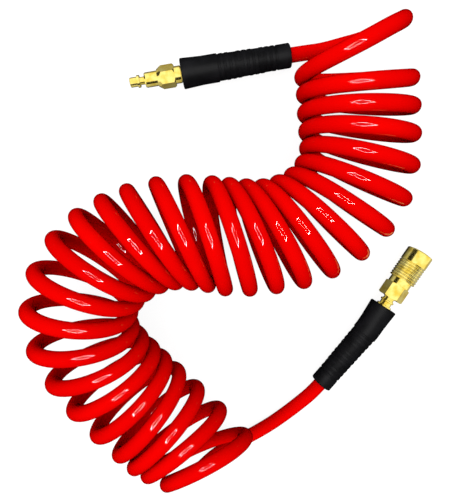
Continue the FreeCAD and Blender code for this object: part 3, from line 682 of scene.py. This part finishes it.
def make_boot(name, hose_end, heading, bend_degrees):
    """One boot as a plain mesh in its place."""
    blank = bpy.data.objects.new(name + "_blank", turned_mesh(name, boot_outline, points_around))
    bpy.context.scene.collection.objects.link(blank)
    ribs = blank.modifiers.new("ribs", "NODES")
    ribs.node_group = boot_ribs
    growth = (core_radius_end - core_radius_start) / core_radius_start / rib_count
    for socket, value in (
        ("Count", rib_count), ("Start", (rib_start + rib_width / 2) * MM), ("Pitch", rib_pitch * MM),
        ("Width", rib_width * MM), ("Depth", 2 * rib_sunk * MM),
        ("Radius", (core_radius_start + rib_height - rib_sunk) * MM),
        ("Growth", growth), ("Gap", math.radians(rib_gap_degrees)), ("Material", boot_rubber),
    ):
        set_input(ribs, socket, value)
    bpy.context.view_layer.update()
    mesh = bpy.data.meshes.new_from_object(blank.evaluated_get(bpy.context.evaluated_depsgraph_get()))
    bpy.data.objects.remove(blank)
    angle = math.radians(heading)
    for vertex in mesh.vertices:
        x, y, z = bent(tuple(vertex.co / MM), bend_degrees)
        vertex.co = Vector((
            hose_end[0] + x * math.cos(angle) - y * math.sin(angle),
            hose_end[1] + x * math.sin(angle) + y * math.cos(angle),
            fitting_height + z,
        )) * MM
    mesh.shade_smooth()
    boot = bpy.data.objects.new(name, mesh)
    bpy.context.scene.collection.objects.link(boot)
    print(name, len(mesh.polygons), "faces")
    return boot


plug_boot = make_boot("rubber_boot_plug_end", plug_boot_place, plug_heading, 0.0)
coupler_boot = make_boot(
    "rubber_boot_coupler_end", coupler_boot_place, coupler_boot_heading,
    coupler_heading - coupler_boot_heading,
)

# %% [markdown]
# ## What rides on what
# Every new piece moves with a body of the frame and stands for the CAD solids that it hides.

# %% Ride and replace
for piece, slot, replaced in (
    (hose, "hose", ["hose_coil", "hose_tail_plug_end", "hose_tail_coupler_end"]),
    (plug_boot, "boot", ["plug_boot"]),
    (coupler_boot, "boot", ["coupler_boot"]),
):
    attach(piece, "hose")
    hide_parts(*replaced)

# %% [markdown]
# ## Table
# The picture was taken on a white table that is lit until it has no shadows left. A table that glows by
# itself gives that. It is kept out of what glossy and matt surfaces see, so that it doesn't light the hose
# from below: the sky does that part of the work, where its amount can be set.

# %% Floor
floor_half = 3.0
floor_mesh = bpy.data.meshes.new("floor")
corners = [(floor_half * x, floor_half * y, 0) for x, y in ((-1, -1), (1, -1), (1, 1), (-1, 1))]
floor_mesh.from_pydata(corners, [], [(0, 1, 2, 3)])
floor = bpy.data.objects.new("floor", floor_mesh)
bpy.context.scene.collection.objects.link(floor)
floor_material, floor_tree = blank_material("paper_white_matt")
paper = add(floor_tree, "ShaderNodeBsdfPrincipled", {
    "Base Color": linear("#686868"), "Roughness": 0.9, "Specular IOR Level": 0.0,
    "Emission Color": linear("#ffffff"), "Emission Strength": 0.9,
})
add(floor_tree, "ShaderNodeOutputMaterial", {"Surface": paper.outputs["BSDF"]})
floor_mesh.materials.append(floor_material)
floor.visible_diffuse = False
floor.visible_glossy = False
print("floor:", 2 * floor_half, "m square")

# %% [markdown]
# ## Sky
# A studio's softboxes and screens are far larger than the object, so a sky that is bright in some
# directions and dark in others does the same. It lights the matt side of every surface: one wide bright
# cap round the top, and almost nothing from below, which gives each tube its darker edges and leaves the
# insides of the turns dark.

# %% Sky
def round_patch(tree, looking, azimuth, from_zenith, inner, outer):
    """A round patch of a sky or a tent: 1 inside the inner angle, 0 outside the outer one, in degrees."""
    a, z = math.radians(azimuth), math.radians(from_zenith)
    centre = (math.sin(z) * math.cos(a), math.sin(z) * math.sin(a), math.cos(z))
    facing = add(tree, "ShaderNodeVectorMath", {0: looking, 1: centre}, operation="DOT_PRODUCT")
    return add(tree, "ShaderNodeMapRange", {
        "Value": facing.outputs["Value"], "From Min": math.cos(math.radians(outer)),
        "From Max": math.cos(math.radians(inner)),
    }, interpolation_type="SMOOTHSTEP").outputs["Result"]


cap_azimuth, cap_from_zenith = 165, 15
cap_inner, cap_outer = 72, 110
level_below, level_above = 0.03, 2.0
level_in_gloss = 0.03
level_in_camera = 1.0
world = bpy.data.worlds.new("studio_sky")
world.use_nodes = True
sky_tree = world.node_tree
sky_tree.nodes.clear()
above = add(sky_tree, "ShaderNodeTexCoord").outputs["Generated"]
cap = round_patch(sky_tree, above, cap_azimuth, cap_from_zenith, cap_inner, cap_outer)
path = add(sky_tree, "ShaderNodeLightPath")
matt_light = add(sky_tree, "ShaderNodeMix", {"Factor": cap, "A": level_below, "B": level_above})
not_glossy = add(sky_tree, "ShaderNodeMix", {
    "Factor": path.outputs["Is Glossy Ray"], "A": matt_light.outputs["Result"], "B": level_in_gloss,
})
strength = add(sky_tree, "ShaderNodeMix", {
    "Factor": path.outputs["Is Camera Ray"], "A": not_glossy.outputs["Result"], "B": level_in_camera,
})
sky = add(sky_tree, "ShaderNodeBackground", {
    "Color": linear("#ffffff"), "Strength": strength.outputs["Result"],
})
add(sky_tree, "ShaderNodeOutputWorld", {"Surface": sky.outputs["Background"]})
bpy.context.scene.world = world
bpy.context.scene.view_settings.view_transform = "Standard"
print("sky:", len(sky_tree.nodes), "nodes")

# %% [markdown]
# ## A tent for the metal
# Polished brass shows what stands round it, so photographers put it in a white tent with a dark screen or
# two, which draw its dark stripes. The tent here is a glowing ball that only the metal pieces reflect. It
# has a dark screen on the left and one in front, a grey one low at the back, and it is dark straight below.
# It isn't sampled as a lamp, which would only add grain. The outer pieces of the fittings are kept out of
# what the hose reflects, because the picture shows no golden dots on it.

# %% Light tent
def receivers(name, pieces):
    """A collection of the pieces that a light is for."""
    group = bpy.data.collections.new(name)
    for piece in pieces:
        group.objects.link(piece)
    return group


tent_radius = 1.5
tent_below, tent_above = 0.55, 1.2
tent_fades_from, tent_fades_to = 85, 95
# Screens: azimuth, angle from the zenith, full out to, gone from, all in degrees, and brightness
screens = [
    (147.5, 67, 20, 27, 0.02), (-80.4, 64, 18, 28, 0.02), (99.6, 134, 25, 45, 0.25), (0, 180, 15, 50, 0.02),
]
ball = bmesh.new()
bmesh.ops.create_icosphere(ball, subdivisions=3, radius=tent_radius)
tent_mesh = bpy.data.meshes.new("tent")
ball.to_mesh(tent_mesh)
ball.free()
tent = bpy.data.objects.new("tent", tent_mesh)
bpy.context.scene.collection.objects.link(tent)
tent_material, tent_tree = blank_material("tent_cloth_glowing")
outwards = add(tent_tree, "ShaderNodeTexCoord").outputs["Object"]
unit = add(tent_tree, "ShaderNodeVectorMath", {0: outwards}, operation="NORMALIZE").outputs["Vector"]
upper = round_patch(tent_tree, unit, 0, 0, tent_fades_from, tent_fades_to)
pale = add(tent_tree, "ShaderNodeMix", {
    "Factor": upper, "A": tent_below, "B": tent_above,
}).outputs["Result"]
for azimuth, from_zenith, inner, outer, level in screens:
    screen = round_patch(tent_tree, unit, azimuth, from_zenith, inner, outer)
    pale = add(tent_tree, "ShaderNodeMix", {"Factor": screen, "A": pale, "B": level}).outputs["Result"]
glow = add(tent_tree, "ShaderNodeEmission", {"Color": linear("#ffffff"), "Strength": pale})
add(tent_tree, "ShaderNodeOutputMaterial", {"Surface": glow.outputs["Emission"]})
tent_mesh.materials.append(tent_material)
tent_material.cycles.emission_sampling = "NONE"
metal_finishes = (plug_brass, coupler_brass, sleeve_brass, spring_steel, ball_steel)
metal = springs + [nodes[name] for finish in metal_finishes for name in finish_of[finish]]
tent.light_linking.receiver_collection = receivers("in_the_tent", metal)
tent.visible_camera = False
tent.visible_diffuse = False
tent.visible_transmission = False
tent.visible_shadow = False
for name in ("quick_plug", "plug_swivel_body", "coupler_swivel_body", "coupler_adapter", "coupler_sleeve"):
    nodes[name].visible_glossy = False
print("tent for", len(metal), "pieces")

# %% [markdown]
# ## The bright frame
# On every turn of the real hose there is a thin hollow box of light: the reflection of a square lamp frame
# over the camera. Where it stands follows from where the boxes lie on the turns. It only shows in what is
# glossy, and only on the hose and the boots.

# %% Lamp frame
def area_light(name, place, size, power, turned):
    """A rectangular light that looks down and is turned about the vertical by some degrees."""
    data = bpy.data.lights.new(name, "AREA")
    data.shape = "RECTANGLE"
    data.size, data.size_y = size
    data.energy = power
    light = bpy.data.objects.new(name, data)
    bpy.context.scene.collection.objects.link(light)
    light.location = place
    light.rotation_euler = (0, 0, math.radians(turned))
    light.visible_camera = False
    return light


lamp_centre = Vector((4.6, 86.2, 600.0)) * MM
lamp_half = 155 * MM
lamp_strip = 15 * MM
lamp_turned = 40.0
lamp_radiance = 50.0
lit_by_lamp = receivers("lit_by_lamp", [hose, plug_boot, coupler_boot])
strip_length = 2 * lamp_half + lamp_strip
strip_power = lamp_radiance * math.pi * strip_length * lamp_strip
for k in range(4):
    turned = lamp_turned + 90 * k
    angle = math.radians(turned)
    place = lamp_centre + Vector((math.cos(angle), math.sin(angle), 0)) * lamp_half
    strip = area_light(f"lamp_strip_{k + 1}", place, (lamp_strip, strip_length), strip_power, turned)
    strip.visible_diffuse = False
    strip.light_linking.receiver_collection = lit_by_lamp
print("lamp frame:", round(2 * lamp_half, 3), "m square")
